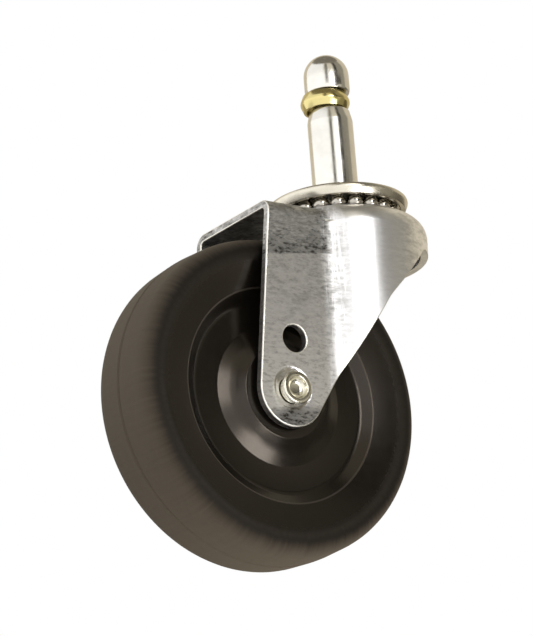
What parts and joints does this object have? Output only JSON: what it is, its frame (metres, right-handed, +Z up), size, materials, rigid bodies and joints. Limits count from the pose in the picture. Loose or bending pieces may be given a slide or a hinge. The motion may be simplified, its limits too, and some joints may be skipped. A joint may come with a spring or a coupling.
{
  "type": "swivel castor",
  "caption": "Swivel castor with a solid rubber wheel in a pressed steel fork, a ball-bearing swivel and a round grip-ring stem that pushes up into a furniture leg.",
  "frame": {"origin": "on the stem's axis, in the seat face where the stem leaves the upper raceway", "axes": "+Z up along the stem; the wheel trails towards -X and its axle runs along Y"},
  "size_m": [0.0864, 0.0418, 0.1302],
  "materials": {
    "stem_plate": "bright plated, turned and polished",
    "ring_brass": "bright brass-plated strip",
    "raceway_plate": "bright zinc plate, slightly dull",
    "ball_steel": "hardened and polished, greased",
    "fork_plate": "zinc plate on drawn sheet, mottled and scuffed",
    "rivet_plate": "bright zinc plate",
    "hub_steel": "plain turned steel",
    "wheel_rubber": "moulded, glossy sides and a dull tread"
  },
  "bodies": {
    "mounting": {"stem": "stem_plate", "grip_ring": "ring_brass", "upper_raceway": "raceway_plate", "lower_raceway": "raceway_plate"},
    "upper_balls": {"upper_ball_01": "ball_steel", "upper_ball_02": "ball_steel", "upper_ball_03": "ball_steel", "upper_ball_04": "ball_steel", "upper_ball_05": "ball_steel", "upper_ball_06": "ball_steel", "upper_ball_07": "ball_steel", "upper_ball_08": "ball_steel", "upper_ball_09": "ball_steel", "upper_ball_10": "ball_steel", "upper_ball_11": "ball_steel", "upper_ball_12": "ball_steel", "upper_ball_13": "ball_steel", "upper_ball_14": "ball_steel", "upper_ball_15": "ball_steel", "upper_ball_16": "ball_steel", "upper_ball_17": "ball_steel", "upper_ball_18": "ball_steel", "upper_ball_19": "ball_steel", "upper_ball_20": "ball_steel"},
    "lower_balls": {"lower_ball_01": "ball_steel", "lower_ball_02": "ball_steel", "lower_ball_03": "ball_steel", "lower_ball_04": "ball_steel", "lower_ball_05": "ball_steel", "lower_ball_06": "ball_steel", "lower_ball_07": "ball_steel", "lower_ball_08": "ball_steel", "lower_ball_09": "ball_steel", "lower_ball_10": "ball_steel", "lower_ball_11": "ball_steel", "lower_ball_12": "ball_steel", "lower_ball_13": "ball_steel"},
    "swivel_fork": {"fork": "fork_plate", "axle_rivet": "rivet_plate", "axle_sleeve": "hub_steel", "thrust_washer_near": "hub_steel", "thrust_washer_far": "hub_steel"},
    "rolling_wheel": {"wheel": "wheel_rubber", "hub_bush": "hub_steel"}
  },
  "joints": [
    {"name": "swivel", "type": "hinge", "parent": "mounting", "child": "swivel_fork", "pos_m": [0, 0, 0], "axis": [0, 0, 1], "continuous": true},
    {"name": "upper_row", "type": "hinge", "parent": "mounting", "child": "upper_balls", "pos_m": [0, 0, 0], "axis": [0, 0, 1], "continuous": true},
    {"name": "lower_row", "type": "hinge", "parent": "mounting", "child": "lower_balls", "pos_m": [0, 0, 0], "axis": [0, 0, 1], "continuous": true},
    {"name": "wheel_spin", "type": "hinge", "parent": "swivel_fork", "child": "rolling_wheel", "pos_m": [-0.02734, 0, -0.05405], "axis": [0, 1, 0], "continuous": true}
  ],
  "couplings": [
    {"joint": "upper_row", "follows": "swivel", "ratio": 0.5},
    {"joint": "lower_row", "follows": "swivel", "ratio": 0.5}
  ]
}
